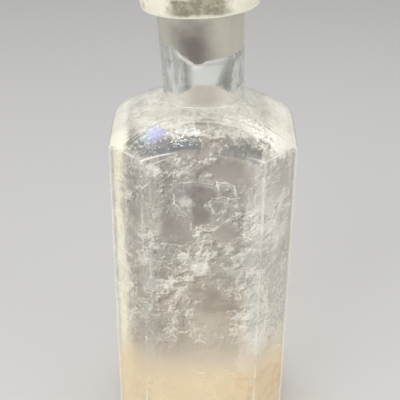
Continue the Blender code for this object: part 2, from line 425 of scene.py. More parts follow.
# %% The neck and the lip
NECK_STEPS = 24
LIP_UPPER_ROUND = 0.0032
LIP_LOWER_ROUND = 0.0014
LIP_SEAT_FILLET = 0.0005
MOUTH_ROUND = 0.0008
MOUTH_RADIUS = 0.0108
NECK_WAVE = 0.00016
LIP_WAVE = 0.00008

foot = outer_dome[-1]
neck_end = (NECK_TOP_RADIUS, LIP_UNDERSIDE - LIP_SEAT_FILLET)
neck = between(foot, neck_end, NECK_STEPS)
neck += arc((NECK_TOP_RADIUS + LIP_SEAT_FILLET, neck_end[1]), LIP_SEAT_FILLET, 180, 90, 3)[1:]
lip = between(neck[-1], (LIP_RADIUS - LIP_LOWER_ROUND, LIP_UNDERSIDE), 3)
lip += arc((LIP_RADIUS - LIP_LOWER_ROUND, LIP_UNDERSIDE + LIP_LOWER_ROUND), LIP_LOWER_ROUND, -90, 0, 7)[1:]
upper = (LIP_RADIUS - LIP_UPPER_ROUND, LIP_TOP - LIP_UPPER_ROUND)
lip += between(lip[-1], (LIP_RADIUS, upper[1]), 4)
lip += arc(upper, LIP_UPPER_ROUND, 0, 90, 10)[1:]
for turn, height in neck:
    station(turn, height, wave=NECK_WAVE)
for turn, height in lip:
    station(turn, height, wave=LIP_WAVE)

mouth = between(lip[-1], (MOUTH_RADIUS + MOUTH_ROUND, LIP_TOP), 6)
for step, (turn, height) in enumerate(mouth):
    station(turn, height, lining=(step + 1) / len(mouth) * 0.5)

# %% The bore and the hollow
GRIND_LENGTH = 0.0265
GRIND_SLOPE = 0.05
NECK_BORE_RADIUS = 0.0093
NECK_INNER_FILLET = 0.005
INNER_HEEL_RADIUS = 0.005
HOLLOW_WAVE = 0.00055
WAVE_SIZE = 0.017

grind_end = (MOUTH_RADIUS - GRIND_SLOPE * GRIND_LENGTH, LIP_TOP - GRIND_LENGTH)
inner_reach = math.hypot(INNER_HALF, INNER_HALF - INNER_CORNER_LEG)
inner_dome = dome_and_foot(NECK_BORE_RADIUS, NECK_INNER_FILLET, DOME_RADIUS - SHOULDER_WALL,
                           inner_reach + INNER_SOFTNESS)[::-1]
bore = arc((MOUTH_RADIUS + MOUTH_ROUND, LIP_TOP - MOUTH_ROUND), MOUTH_ROUND, 90, 180, 4)[1:]
bore += between(bore[-1], grind_end, 18)
step_end = (NECK_BORE_RADIUS, grind_end[1] - (grind_end[0] - NECK_BORE_RADIUS))
below = [step_end] + between(step_end, inner_dome[0], 12)[:-1]
for turn, height in bore:
    station(turn, height, lining=1)
for turn, height in below:
    station(turn, height, lining=1, wave=NECK_WAVE * 2)
for turn, height in inner_dome:
    station(turn, height, lining=1, wave=HOLLOW_WAVE)

floor_top = BASE_THICKNESS + INNER_HEEL_RADIUS
for _, height in between((0, inner_dome[-1][1]), (0, floor_top), BODY_STEPS):
    station(WIDE, height, lining=1, wave=HOLLOW_WAVE)
for step in range(1, HEEL_STEPS + 1):
    turn = math.pi / 2 * step / HEEL_STEPS
    station(WIDE, floor_top - INNER_HEEL_RADIUS * math.sin(turn), lining=1,
            drawn_in=1 - INNER_HEEL_RADIUS * (1 - math.cos(turn)) / INNER_HALF)
for reach in (0.022, 0.016, 0.010, 0.005, 0.0):
    station(reach, BASE_THICKNESS, lining=1)
print(len(stations), "stations along the profile")

# %% [markdown]
# Now the two drawings become two small helper meshes. The outline is a ring of points that also
# carries, as an attribute, where the inner outline lies. The profile is a line of points that
# carries its stations as attributes. Neither is ever seen: they are what the node tree reads.

# %% Turn the drawings into meshes that nodes can read
def drawing(name, points, vectors=None, numbers=None):
    """A mesh of loose points with named attributes."""
    mesh = bpy.data.meshes.new(name)
    mesh.from_pydata(points, [], [])
    for key, values in (vectors or {}).items():
        layer = mesh.attributes.new(key, "FLOAT_VECTOR", "POINT")
        layer.data.foreach_set("vector", [x for value in values for x in value])
    for key, values in (numbers or {}).items():
        layer = mesh.attributes.new(key, "FLOAT", "POINT")
        layer.data.foreach_set("value", values)
    return put_in_scene(name, mesh)


outline = drawing("outline_drawing", [(*p, 0) for p in outer_line],
                  vectors={"inner_line": [(*p, 0) for p in inner_line]})
profile = drawing("profile_drawing", [(0, 0, s["height"]) for s in stations],
                  numbers={key: [s[key] for s in stations] for key in stations[0]})

# %% [markdown]
# The tree lays a grid with one column for each point of the outline and one row for each station,
# and moves every point of it: the smooth minimum of the turned reach and the square's reach is
# what rounds the meeting of dome and panel. A noise adds the waviness of blown glass, always
# inwards, and last the neck is bent over by three degrees. Merging by distance closes the seam
# and the two poles.

# %% Geometry Nodes: the blown skin
def new_geometry_tree(name, sockets):
    """A geometry tree with a Geometry input and output and the named inputs listed."""
    tree = bpy.data.node_groups.new(name, "GeometryNodeTree")
    tree.interface.new_socket("Geometry", in_out="INPUT", socket_type="NodeSocketGeometry")
    tree.interface.new_socket("Geometry", in_out="OUTPUT", socket_type="NodeSocketGeometry")
    for title, kind in sockets:
        tree.interface.new_socket(title, in_out="INPUT", socket_type="NodeSocket" + kind)
    return tree


def sample(w, geometry, kind, value, index):
    """Reads a value of another mesh's points at an index."""
    return w.out("GeometryNodeSampleIndex", {"Geometry": geometry, "Value": value, "Index": index},
                 data_type=kind, domain="POINT")


def attribute(w, name, kind="FLOAT"):
    return w.out("GeometryNodeInputNamedAttribute", {"Name": name}, "Attribute", data_type=kind)


def bent_neck(w, place, foot, bend_length, lean):
    """The formula that bends what is above the neck's foot, as nodes."""
    x, y, z = w.axes(place)
    bend_radius = bend_length / lean
    above = w.larger(z - foot, 0.0)
    along = w.smaller(above, bend_length)
    angle = along / bend_radius
    straight = above - along
    sine = w.maths("SINE", angle)
    cosine = w.maths("COSINE", angle)
    arm = x + bend_radius
    bent_x = arm * cosine - bend_radius - straight * sine
    bent_z = w.smaller(z, foot) + arm * sine + straight * cosine
    return w.point(bent_x, y, bent_z)


def dressed(w, geometry, material):
    """Smooths what a tree has made, makes it real and gives it its material."""
    smooth = w.out("GeometryNodeSetShadeSmooth", {"Geometry": geometry})
    whole = w.out("GeometryNodeRealizeInstances", {"Geometry": smooth})
    return w.out("GeometryNodeSetMaterial", {"Geometry": whole, "Material": material})


# %% The tree itself
MERGE_DISTANCE = 0.000002


def blown_skin_tree():
    tree = new_geometry_tree("blown_skin", [
        ("Profile", "Object"), ("Columns", "Int"), ("Rows", "Int"), ("Softness", "Float"),
        ("Inner Softness", "Float"), ("Wave Size", "Float"), ("Neck Foot", "Float"),
        ("Bend Length", "Float"), ("Lean", "Float"), ("Seed", "Float"),
        ("Outer Glass", "Material"), ("Inner Glass", "Material")])
    w = Wiring(tree)
    given = w.outs("NodeGroupInput")
    across = w.out("GeometryNodeObjectInfo", {"Object": given["Profile"]}, "Geometry")
    grid = w.out("GeometryNodeMeshGrid",
                 {"Vertices X": given["Columns"] + 1.0, "Vertices Y": given["Rows"]}, "Mesh")
    index = w.out("GeometryNodeInputIndex")
    column = w.maths("MODULO", w.maths("FLOOR", (index + 0.5) / given["Rows"]), given["Columns"])
    row = w.maths("FLOOR", w.maths("MODULO", index + 0.5, given["Rows"]))

    outside = sample(w, given["Geometry"], "FLOAT_VECTOR", w.out("GeometryNodeInputPosition"), column)
    inner_line = attribute(w, "inner_line", "FLOAT_VECTOR")
    inside = sample(w, given["Geometry"], "FLOAT_VECTOR", inner_line, column)
    turn, height, drawn_in, lining, wave = (
        sample(w, across, "FLOAT", attribute(w, key), row)
        for key in ("turn", "height", "drawn_in", "lining", "wave"))

    between_lines = w.vector("ADD", w.vector("SCALE", outside, 1.0 - lining),
                             w.vector("SCALE", inside, lining))
    square = w.vector("SCALE", between_lines, drawn_in)
    direction = w.vector("NORMALIZE", square)
    softness = given["Softness"] * (1.0 - lining) + given["Inner Softness"] * lining
    reach = w.maths("SMOOTH_MIN", turn, w.vector("LENGTH", square), softness)

    up = w.point(0.0, 0.0, height)
    still = w.vector("ADD", w.vector("SCALE", direction, reach), up)
    waves = w.out("ShaderNodeTexNoise",
                  {"Vector": still, "W": given["Seed"] + lining * 7.0, "Scale": 1.0 / given["Wave Size"],
                   "Detail": 1.5, "Roughness": 0.45}, "Fac", noise_dimensions="4D")
    inwards = w.out("ShaderNodeMapRange", {"Value": waves, "From Min": 0.25, "From Max": 0.75,
                                           "To Min": 0.0, "To Max": -1.0})
    pressed = wave * inwards
    wavy = w.vector("ADD", w.vector("SCALE", direction, reach + pressed), up)
    place = bent_neck(w, wavy, given["Neck Foot"], given["Bend Length"], given["Lean"])

    skin = w.out("GeometryNodeSetPosition", {"Geometry": grid, "Position": place})
    skin = w.out("GeometryNodeStoreNamedAttribute", {"Geometry": skin, "Name": "lining", "Value": lining},
                 data_type="FLOAT", domain="POINT")
    skin = w.out("GeometryNodeMergeByDistance", {"Geometry": skin, "Distance": MERGE_DISTANCE})
    skin = dressed(w, skin, given["Outer Glass"])
    within = w.maths("GREATER_THAN", attribute(w, "lining"), 0.5)
    skin = w.out("GeometryNodeSetMaterial",
                 {"Geometry": skin, "Selection": within, "Material": given["Inner Glass"]})
    w.node("NodeGroupOutput", {"Geometry": skin})
    return tree


# %% [markdown]
# A modifier's inputs are set by their identifiers. This helper looks them up by title, sets them,
# and turns what the tree makes into a plain mesh, after which the modifier is gone.

# %% A helper that runs a tree and keeps its mesh
def made_by(name, base, tree, values):
    """Runs a geometry tree on a base object and returns a new object with the resulting mesh."""
    modifier = base.modifiers.new(tree.name, "NODES")
    modifier.node_group = tree
    for item in tree.interface.items_tree:
        if item.item_type == "SOCKET" and item.in_out == "INPUT" and item.name in values:
            modifier[item.identifier] = values[item.name]
    bpy.context.view_layer.update()
    evaluated = base.evaluated_get(bpy.context.evaluated_depsgraph_get())
    mesh = bpy.data.meshes.new_from_object(evaluated)
    mesh.name = name
    base.modifiers.remove(modifier)
    return put_in_scene(name, mesh)


def report(piece):
    """Prints how big a piece is, and whether it is closed and faces outwards."""
    mesh = piece.data
    check = bmesh.new()
    check.from_mesh(mesh)
    open_edges = sum(not edge.is_manifold for edge in check.edges)
    volume = check.calc_volume(signed=True)
    check.free()
    triangles = sum(len(face.vertices) - 2 for face in mesh.polygons)
    print(f"{piece.name}: {triangles} triangles, {open_edges} open edges, "
          f"{volume * 1e6:.1f} ml of material")


def drop_object(helper):
    mesh = helper.data
    bpy.data.objects.remove(helper)
    bpy.data.meshes.remove(mesh)


# %% [markdown]
# Two finishes cover the bottle. Outside it is glossy old glass that carries a little of the haze
# as well, so that it still looks hazy in viewers that can't see through two walls. Inside it
# wears the dried film: a grey veil, white flakes, crinkled tide lines where the last puddles
# shrank, and smooth taupe places where nothing dried. Both read one pattern, made here from
# noises. Its places are in millimetres, which are easier to read at this scale.

# %% Colours of the haze
FILM_TONES = (
    # share, colour
    (0.00, (0.150, 0.135, 0.115)),
    (0.25, (0.330, 0.300, 0.262)),
    (0.50, (0.560, 0.525, 0.465)),
    (0.75, (0.790, 0.765, 0.695)),
    (1.00, (0.940, 0.930, 0.880)),
)
# The cream of painted light at the silhouettes: the body's corners, the dome's hips and the lip's sides.
CREAM_EDGE_LIGHT = (0.97, 0.935, 0.79, 1)
TAN_STAIN = (0.88, 0.76, 0.55, 1)
SANDY_STAIN = (0.72, 0.52, 0.32, 1)
MAUVE_FILM = (0.46, 0.40, 0.375, 1)
COOL_FILM = (0.50, 0.515, 0.515, 1)
# Colours of a painted sheen on the dome.
PAINTED_SKY_SHEEN = (0.66, 0.83, 0.92, 1)
PAINTED_LILAC_SHEEN = (0.58, 0.58, 0.94, 1)


def tones(w, share):
    """The film's colour from dark taupe at 0 to white at 1."""
    made = w.node("ShaderNodeValToRGB", {"Fac": share})
    ramp = made.color_ramp
    while len(ramp.elements) < len(FILM_TONES):
        ramp.elements.new(0.5)
    for stop, (place, colour) in zip(ramp.elements, FILM_TONES):
        stop.position = place
        stop.color = (*colour, 1)
    return Wire(w, made.outputs[0])


def mix(w, share, a, b):
    """The colour a where the share is 0 and b where it is 1."""
    return w.out("ShaderNodeMix", {0: share, 6: a, 7: b}, 2, data_type="RGBA")


def noise(w, place, size_mm, detail=2.0, roughness=0.5, seed=0.0, colour=False):
    """Noise whose lumps are about size_mm wide. The place is in millimetres."""
    return w.out("ShaderNodeTexNoise", {"Vector": place, "W": seed, "Scale": 1.0 / size_mm,
                                        "Detail": detail, "Roughness": roughness},
                 "Color" if colour else "Fac", noise_dimensions="4D")


def ragged(w, place, size_mm, reach, seed, detail=3.0):
    """A noise round nought, for pushing a border about."""
    return (noise(w, place, size_mm, detail=detail, seed=seed) - 0.5) * reach


def object_place(w):
    """The place on the piece, in millimetres."""
    return w.vector("SCALE", w.out("ShaderNodeTexCoord", output="Object"), 1000.0)


def crinkled(w, place, size_mm, reach_mm, seed):
    """The place pushed about by a noise, which makes any line drawn on it crinkle."""
    push = w.vector("SUBTRACT", noise(w, place, size_mm, seed=seed, colour=True), (0.5, 0.5, 0.5))
    return w.vector("ADD", place, w.vector("SCALE", push, reach_mm * 2))


# %% [markdown]
# Some marks follow the body's own shape: a painted highlight where the dome meets the panels, thin
# painted highlights down the eight upright edges, and cream painted light at the corners and sides.
# So the next helper measures how a place lies to the dome's sphere and to the square. Where the two
# distances are equal is the crease, and because both walls keep the same distance to the same
# shapes, it works on both.

# %% How a place lies to the body's shapes
class Lie:
    """Distances of a place from the body's shapes, as nodes, in millimetres."""

    def __init__(self, w, place):
        self.x, self.y, self.z = w.axes(place)
        self.wide = abs(self.x)
        self.deep = abs(self.y)
        self.most = w.larger(self.wide, self.deep)
        self.least = w.smaller(self.wide, self.deep)
        self.corner = self.wide + self.deep
        half, leg = HALF_WIDTH * 1000, CORNER_LEG * 1000
        bevel = (self.corner - (2 * half - leg)) * math.sqrt(0.5)
        square = w.larger(self.most - half, bevel)
        above = w.larger(self.z - DOME_HEIGHT * 1000, 0.0)
        from_middle = w.vector("LENGTH", w.point(self.x, self.y, above))
        self.crease = from_middle - DOME_RADIUS * 1000 - square
        self.edge = w.vector("LENGTH", w.point(self.most - half, self.least - (half - leg), 0.0))


def line_at(w, distance, half_width, strength=1.0):
    """Bright where the distance is nought, fading over the half width."""
    return w.fade(abs(distance), 0.0, half_width, strength, 0.0)


# %% [markdown]
# The last puddles dried on the front panel. Shores are crusty lines where their edges stood, and
# the bow is the long arc of the largest. Patches are lighter or darker fillings, calm places dried
# smooth and darker, and flaky places broke up. Noises crinkle all of them, so none looks drawn.

# %% The marks left by the last puddles
SHORES = (
    # strength of the line, then x and z of its points in mm
    (0.9, (-10.2, 115.9), (-9.0, 111.8), (-5.3, 108.6)),
    (1.0, (5.6, 117.6), (4.2, 121.1), (9.4, 120.6), (11.9, 115.1), (8.4, 114.7), (4.2, 115.2), (1.9, 112.8),
     (4.9, 108.4)),
    (1.0, (-1.6, 99.8), (-1.9, 103.3), (2.5, 101.4), (13.5, 109.4)),
    (0.6, (10.4, 98.9), (14.5, 99.8), (19.3, 98.2)),
    (0.8, (-19.7, 94.0), (-12.7, 96.9), (-8.3, 95.3), (2.6, 97.7), (2.2, 91.3)),
    (0.7, (-16.5, 78.6), (-8.3, 82.3), (-1.2, 80.0), (-9.0, 77.4)),
    (1.0, (-1.5, 38.6), (1.2, 38.7)),
    (0.9, (11.5, 38.6), (13.9, 38.7)),
    (0.9, (-15.6, 36.4), (-14.2, 36.2)),
)
PATCHES = (
    # x and z of the middle in mm, half width, half height, how much lighter
    (-6.0, 114.0, 2.7, 2.4, 0.40),
    (8.3, 117.6, 2.6, 2.2, -0.16),
    (6.6, 112.2, 3.2, 2.0, -0.06),
    (9.8, 111.5, 4.0, 2.6, 0.12),
    (0.2, 101.2, 1.6, 1.6, -0.08),
    (15.4, 107.0, 1.9, 1.7, 0.20),
    (16.9, 96.7, 3.4, 1.7, -0.20),
    (16.7, 101.9, 2.5, 1.4, -0.14),
    (-0.3, 87.0, 3.6, 4.4, 0.36),
    (11.3, 86.0, 3.0, 3.2, 0.26),
    (10.0, 95.0, 1.6, 3.0, 0.26),
    (-6.3, 90.6, 3.0, 2.0, 0.22),
    (-12.5, 74.4, 3.0, 1.1, -0.28),
    (17.6, 80.6, 3.0, 2.4, -0.26),
    (12.2, 69.8, 2.4, 2.2, -0.18),
    (-14.6, 60.0, 2.6, 3.0, -0.14),
    (-17.7, 106.3, 4.5, 7.0, 0.05),
    (-16.3, 125.1, 2.2, 2.0, 0.34),
    (13.8, 120.3, 8.0, 7.0, 0.05),
)
CALM_PLACES = (
    # x and z of the middle in mm, half width, half height, how much darker
    (-0.3, 116.8, 5.0, 4.5, 0.16),
    (-0.4, 108.3, 3.2, 4.6, 0.22),
    (-8.8, 101.4, 5.5, 6.5, 0.10),
    (10.3, 125.7, 7.0, 5.0, 0.04),
    (4.3, 65.3, 7.0, 12.0, 0.00),
    (-0.7, 75.3, 5.5, 3.0, 0.08),
    (8.5, 101.4, 4.0, 4.5, 0.02),
)
FLAKY_PLACES = (
    # x and z of the middle in mm, half width, half height
    (-6.7, 76.3, 11.5, 9.5),
    (-0.8, 95.4, 9.0, 7.0),
    (13.1, 84.4, 5.0, 9.0),
    (14.9, 105.4, 5.5, 6.0),
    (-7.9, 126.1, 13.0, 5.5),
    (3.9, 127.1, 4.0, 5.0),
    (-20.7, 95.4, 5.0, 8.0),
    (-11.6, 61.2, 7.0, 4.0),
    (14.3, 65.3, 5.0, 7.0),
)
BOW = (-3.6, 94.4, 26.5, 9.5)  # x and z of the middle in mm, radius, half width
LINE_MM = 0.42


def ring(w, across, up, mark):
    """Distance from a mark's middle, 1 at its edge."""
    x = (across - mark[0]) / mark[2]
    z = (up - mark[1]) / mark[3]
    return w.maths("SQRT", x * x + z * z)


def shore_lines(w, place):
    """Thin crusts, as crinkled lines through the points of each shore."""
    x, _, z = w.axes(crinkled(w, crinkled(w, place, 3.6, 1.9, 1.6), 1.0, 0.6, 2.6))
    flat = w.point(x, 0.0, z)
    lines = 0.0
    for strength, *points in SHORES:
        nearest = 99.0
        for (x0, z0), (x1, z1) in zip(points, points[1:]):
            middle, way = Vector((x0 + x1, 0, z0 + z1)) / 2, Vector((x1 - x0, 0, z1 - z0))
            half, way = way.length / 2, way.normalized()
            side = Vector((-way.z, 0, way.x))
            aside = abs(w.vector("DOT_PRODUCT", flat, side) - middle.dot(side))
            along = abs(w.vector("DOT_PRODUCT", flat, way) - middle.dot(way))
            nearest = w.smaller(nearest, w.larger(aside, along - half))
        lines = w.larger(lines, line_at(w, nearest, LINE_MM, strength))
    return lines


def puddle_marks(w, place, wrinkled, lie):
    """Lines, fillings, calm places and flaky places on the front panel."""
    x, _, z = w.axes(wrinkled)
    lines, fillings, calm, flaky = shore_lines(w, place), 0.0, 0.0, 0.0
    for mark in PATCHES:
        fillings += w.fade(ring(w, x, z, mark), 0.7, 1.1, mark[4], 0.0)
    for mark in CALM_PLACES:
        inside = w.fade(ring(w, x, z, mark), 1.15, 0.75)
        calm = w.larger(calm, inside)
        fillings -= inside * mark[4]
    for mark in FLAKY_PLACES:
        flaky = w.larger(flaky, w.fade(ring(w, x, z, mark), 1.3, 0.6))
    bow_x, bow_z, bow_radius, bow_half = BOW
    from_bow = w.vector("LENGTH", w.point(lie.x - bow_x, lie.z - bow_z, 0.0))
    bow = line_at(w, from_bow - bow_radius, LINE_MM, 0.55)
    bow *= w.fade(abs(lie.x - bow_x), bow_half, bow_half - 3.0)
    bow *= w.fade(lie.z, bow_z, bow_z + 5.0)
    front = w.fade(lie.y, -24.0, -28.0) * w.fade(lie.crease, 1.5, 0.0)
    return w.larger(lines, bow) * front, fillings * front, calm * front, flaky * front


# %% [markdown]
# The dome is cream all over but for an arch above each wide panel, front and back, where the
# film is thinner and the glass shows grey. Fine bright lines follow the arch, as they do on glass
# that was pressed while soft. Low in the front arch lie a dark blue-grey streak, where hardly any
# film stuck and the dark seen through the clear glass is painted in as shade, and a shorter one of
# painted shade on the right. There are some white crinkles too, the brightest of them painted
# highlights of the lamps.

# %% The dome's arches
ARCH_DEPTH = 18.2
ARCH_BOW = 0.0072
# The brightest marks, left of the middle and on the right near x 22 mm, are painted highlights of the top
# lamps.
DOME_MARKS_AND_HIGHLIGHTS = (
    # x and y of the middle in mm, half width, half depth, filling
    (-4.5, -25.9, 3.6, 1.1, 0.60),
    (-7.5, -25.3, 2.2, 0.8, 0.50),
    (-2.0, -23.1, 3.2, 0.7, 0.42),
    (3.4, -23.7, 4.0, 0.9, 0.24),
    (-9.4, -22.8, 2.2, 1.0, 0.24),
    (6.4, -21.7, 5.0, 1.0, 0.16),
    (15.3, -26.6, 6.0, 1.8, -0.14),
    (22.2, -25.4, 5.5, 1.8, 0.40),
    (-23.7, -27.5, 4.5, 1.1, 0.14),
    (-0.3, -18.0, 6.0, 1.8, -0.32),
    (16.0, -29.0, 5.0, 1.6, -0.10),
)
# Painted shade: the dark streaks low on the dome's front.
RIGHT_SHADE_STREAK = (13.5, -27.7, 6.5, 1.9)  # x and y of the middle in mm, half width, half depth
STREAK_SHADE_BLUE = (0.21, 0.235, 0.24, 1)


def dome_film(w, wrinkled, lie):
    """What the dome adds: tone with some painted highlights, bright lines, and how much of the dark streak
    of painted shade there is.
    """
    x, y, _ = w.axes(wrinkled)
    on_dome = w.fade(lie.crease, -0.4, 0.4) * w.fade(lie.z, 125.5, 128.5)
    arch = lie.deep - (ARCH_DEPTH + lie.x * lie.x * ARCH_BOW)
    thin = w.fade(lie.crease, 2.5, 9.0, -0.12, 0.22)
    tone = thin + w.fade(arch, 0.5, -0.5) * (0.34 - thin)
    tone += w.fade(lie.wide, 22.0, 31.0, 0.0, 0.42)
    lines = w.larger(line_at(w, arch + 0.5, 0.8), line_at(w, arch + 2.6, 0.45, 0.7))
    aside = w.fade(lie.wide, 5.0, 12.0)
    lines = w.larger(lines, line_at(w, arch + 4.6, 0.45, 0.8) * aside)
    groove = line_at(w, arch + 3.6, 0.7) * (aside * w.fade(lie.x, 8.0, 14.0, 0.35, 1.0))
    bands = line_at(w, arch + 2.4, 3.2) * w.fade(lie.x, 4.0, 12.0)
    tone = tone + bands * 0.3 - groove * 0.55
    # Film marks, and painted highlights of the lamps.
    for mark in DOME_MARKS_AND_HIGHLIGHTS:
        tone += w.fade(ring(w, x, y, mark), 1.2, 0.6, 0.0, mark[4])
    # The dark streak low in the front arch is painted shade.
    high = lie.crease - w.fade(lie.x, -12.0, -28.0) * 1.4
    shade_streak = w.fade(high, 0.2, 0.9) * w.fade(high, 6.0, 4.2)
    shade_streak *= w.fade(x, 1.0, -4.0) * w.fade(y, -10.0, -16.0)
    shade_streak *= w.fade(lie.wide + lie.deep, 61.0, 57.0)
    uneven = w.fade(noise(w, wrinkled, 4.5, detail=3.0, seed=9.5), 0.36, 0.60, 0.45, 1.0)
    deepest = w.fade(lie.x, -14.0, -10.0) * w.fade(high, 4.6, 3.6)
    shade_streak *= w.larger(uneven * 0.85, deepest)
    shade_streak = w.larger(shade_streak, w.fade(ring(w, x, y, RIGHT_SHADE_STREAK), 1.1, 0.6, 0.0, 0.5))
    return tone * on_dome, lines * on_dome, shade_streak * on_dome


# %% [markdown]
# Crinkled film is pale on the sides that face a light from the upper left and dark on the sides
# turned away. A bump map can't show that on a wall seen through another wall, so this light and
# shade is painted into the colour: the film's height here, less its height half a millimetre
# towards the upper left.

# %% Painted light and shade on the film's crinkles
LIGHT_SIDE_STEP = (-0.40, -0.15, 0.42)


def film_height(w, place, lively):
    """The film's height: flat islands with ragged shores, and small flakes where it is lively."""
    shore = w.fade(noise(w, place, 7.5, detail=4.0, roughness=0.62, seed=7.0), 0.47, 0.56)
    flakes = w.fade(noise(w, place, 4.2, seed=7.5), 0.4, 0.62)
    return shore * 0.4 + flakes * lively * 0.62


def film_texture(w, place, wrinkled, lie, calm, flaky):
    """Base tone and crust lines of the film, all round the body."""
    cloud = w.fade(noise(w, wrinkled, 13.0, detail=4.0, roughness=0.55, seed=2.0), 0.38, 0.62)
    level = noise(w, wrinkled, 15.0, roughness=0.4, seed=6.0)
    tide = w.larger(line_at(w, level - 0.505, 0.012), line_at(w, level - 0.575, 0.009, 0.8))
    small_tide = line_at(w, noise(w, wrinkled, 8.0, seed=4.0) - 0.57, 0.016, 0.8)
    speck = w.fade(noise(w, place, 1.6, seed=5.0), 0.66, 0.74)

    patchy = w.fade(noise(w, place, 11.0, detail=3.0, seed=3.0), 0.44, 0.62, 0.10, 1.0)
    patchy *= w.fade(lie.y, -29.0, -25.0, 0.45, 0.9)
    lively = w.larger(patchy, flaky) * w.fade(lie.z, 47.0, 63.2)
    lively *= 1.0 - calm * 0.9
    lively *= w.fade(lie.crease, 2.0, 6.0, 1.0, 0.4)
    tide = w.larger(tide, small_tide) * w.fade(lie.z, 44.9, 61.2, 0.0, 1.0)
    tide = tide * (1.0 - calm * 0.8) * w.fade(lie.z, 103.3, 93.4, 0.45, 1.0)

    loose = crinkled(w, place, 3.0, 0.7, 1.7)
    height = film_height(w, loose, lively)
    toward_light = film_height(w, w.vector("ADD", loose, LIGHT_SIDE_STEP), lively)
    painted_relief = (height - toward_light) * (1.0 - calm * 0.7)
    # The painted light and shade of the crinkles is flat in the tan stain at the bottom, and on the neck.
    unstained = w.fade(lie.z, 44.9, 57.1, 0.12, 1.0) * w.fade(lie.z, 142.0, 139.0, 0.1, 1.0)
    painted_relief *= unstained * w.fade(lively, 0.0, 0.6, 0.65, 1.15)
    painted_relief *= w.fade(painted_relief, -0.1, 0.1, 1.0, 1.5)

    upright = w.vector("MULTIPLY", wrinkled, (1.0, 1.0, 0.17))
    wavy = noise(w, upright, 2.6, detail=3.0, seed=14.0) - 0.5
    bevel_light = w.fade(lie.corner, 45.5, 49.0) * w.fade(lie.z, 133.0, 129.0)

    tone = 0.33 + cloud * 0.15 + (height - 0.4) * (unstained * 0.26)
    tone += w.fade(lie.z, 73.3, 59.2) * w.fade(lie.x, -14.0, 2.0, 0.03, 0.12)
    # Painted light and shade of the crinkles, as if lit from the upper left.
    tone += painted_relief * 0.9
    # The bevels get painted light, brighter towards the right, with wavy upright streaks of painted
    # reflection.
    tone += bevel_light * (wavy * 0.9 + w.fade(lie.x, -10.0, 20.0, 0.17, 0.8))
    tone += bevel_light * (cloud - 0.5) * 0.12
    tone -= w.fade(lie.z, 98.0, 110.0, 0.0, 0.03)
    tone -= speck * lively * (unstained * 0.26)
    return tone, tide * 0.8, cloud


# %% The pattern of the dried film
def film_pattern(w):
    """The film as a function of the place: how white it is, its colour, its crust and its lie."""
    place = object_place(w)
    lie = Lie(w, place)
    wrinkled = crinkled(w, crinkled(w, place, 7.0, 3.2, 1.0), 1.9, 1.0, 1.5)
    lines, fillings, calm, flaky = puddle_marks(w, place, wrinkled, lie)
    tone, crust, cloud = film_texture(w, place, wrinkled, lie, calm, flaky)
    dome_tone, dome_lines, shade_streak = dome_film(w, wrinkled, lie)
    crust = w.larger(w.larger(crust, lines), dome_lines * 0.7)
    tone += fillings + dome_tone

    wobble = (cloud - 0.5) * 1.5
    # Cream painted light at the left and right corners, where light bends round the thick glass.
    left_edge_light = w.fade(lie.x + wobble, -25.5, -27.5)
    right_edge_light = w.fade(lie.x, 31.0, 32.4)
    edge_light = w.larger(left_edge_light, right_edge_light) * w.fade(lie.deep, 14.0, 18.0)
    tone += edge_light * 0.25 + crust * 0.5
    # Painted shade along the dome's dark streak.
    tone -= shade_streak * 0.38
    tone = w.larger(w.smaller(tone, 1.0), 0.0)

    colour = tones(w, tone)
    tinted = w.fade(noise(w, place, 17.0, detail=1.0, seed=3.5), 0.45, 0.65) * w.fade(tone, 0.62, 0.4)
    tinted = w.larger(calm * 0.28 * w.fade(lie.z, 79.3, 89.4), tinted * 0.28)
    colour = mix(w, tinted, colour, MAUVE_FILM)
    # Where the film is thinnest it is a cool grey, apart from the calm places.
    cool = w.fade(cloud, 0.45, 0.1) * (1.0 - calm)
    colour = mix(w, cool * 0.3, colour, COOL_FILM)
    # The blue-grey of the painted shade streak.
    colour = mix(w, shade_streak * w.fade(tone, 0.55, 0.35, 0.0, 0.8), colour, STREAK_SHADE_BLUE)
    # The corners' cream painted light.
    colour = mix(w, edge_light * 0.75, colour, CREAM_EDGE_LIGHT)
    low = w.fade(lie.z + (cloud - 0.5) * 5.0, 54.5, 35.5)
    low *= 1.0 - crust * 0.75
    colour = mix(w, low * 0.88, colour, TAN_STAIN)
    grainy = w.fade(noise(w, place, 4.0, detail=4.0, seed=16.0), 0.47, 0.60)
    sandy = w.fade(lie.x, 7.0, 17.0) * w.fade(lie.z, 45.0, 38.0) * grainy
    colour = mix(w, sandy * 0.5, colour, SANDY_STAIN)
    return tone, colour, crust, lie, place, w.larger(edge_light, low), shade_streak


# %% [markdown]
# A real lamp shines through glass, but a path tracer has to guess its way through two curved
# walls and mostly misses. So to a shadow ray the glass is simply a pale see-through veil: the
# lamps then reach the film and the crust inside, and the bottle still throws a soft shadow.

# %% A helper that makes glass let the lamps through
LAMP_VEIL = (0.84, 0.84, 0.82, 1)
GLASS_IOR = 1.5


def glass_material(name):
    """A new material with its shader behind a veil that only shadow rays see."""
    material = bpy.data.materials.new(name)
    material.use_nodes = True
    material.node_tree.nodes.clear()
    w = Wiring(material.node_tree)
    shader = w.node("ShaderNodeBsdfPrincipled", {"IOR": GLASS_IOR})
    veil = w.out("ShaderNodeBsdfTransparent", {"Color": LAMP_VEIL})
    shadow = w.out("ShaderNodeLightPath", output="Is Shadow Ray")
    both = w.out("ShaderNodeMixShader", {0: shadow, 1: Wire(w, shader.outputs[0]), 2: veil})
    w.node("ShaderNodeOutputMaterial", {"Surface": both})
    return material, w, shader


# %% [markdown]
# The neck leans, so what is ground or streaked in it is measured along its own axis.

